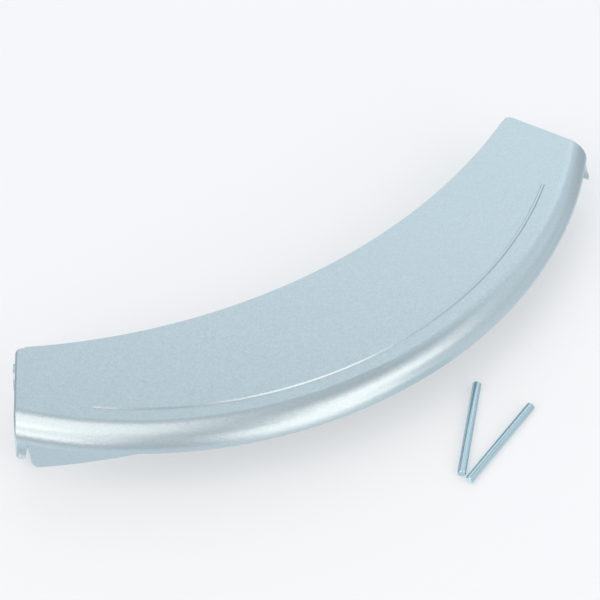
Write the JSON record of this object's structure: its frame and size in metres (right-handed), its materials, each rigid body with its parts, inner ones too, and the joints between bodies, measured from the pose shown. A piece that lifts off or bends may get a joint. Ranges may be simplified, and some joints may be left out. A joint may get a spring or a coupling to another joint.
{
  "type": "washing machine door handle",
  "caption": "Arched silver door handle for a front-loading washer, with a rolled grip edge, a back wall for the door's rim and loose hinge pins for its end knuckles.",
  "frame": {"origin": "middle of the hinge axis, halfway between the two knuckle bores", "axes": "+X along the hinge axis, -Y towards the grip edge, +Z out of the face"},
  "size_m": [0.2306, 0.1107, 0.0249],
  "materials": {
    "silver_moulding": "satin metallic silver paint",
    "pin_steel": "drawn and zinc plated"
  },
  "bodies": {
    "root": {"handle": "silver_moulding", "hinge_pin_left": "pin_steel", "hinge_pin_right": "pin_steel"}
  },
  "joints": []
}
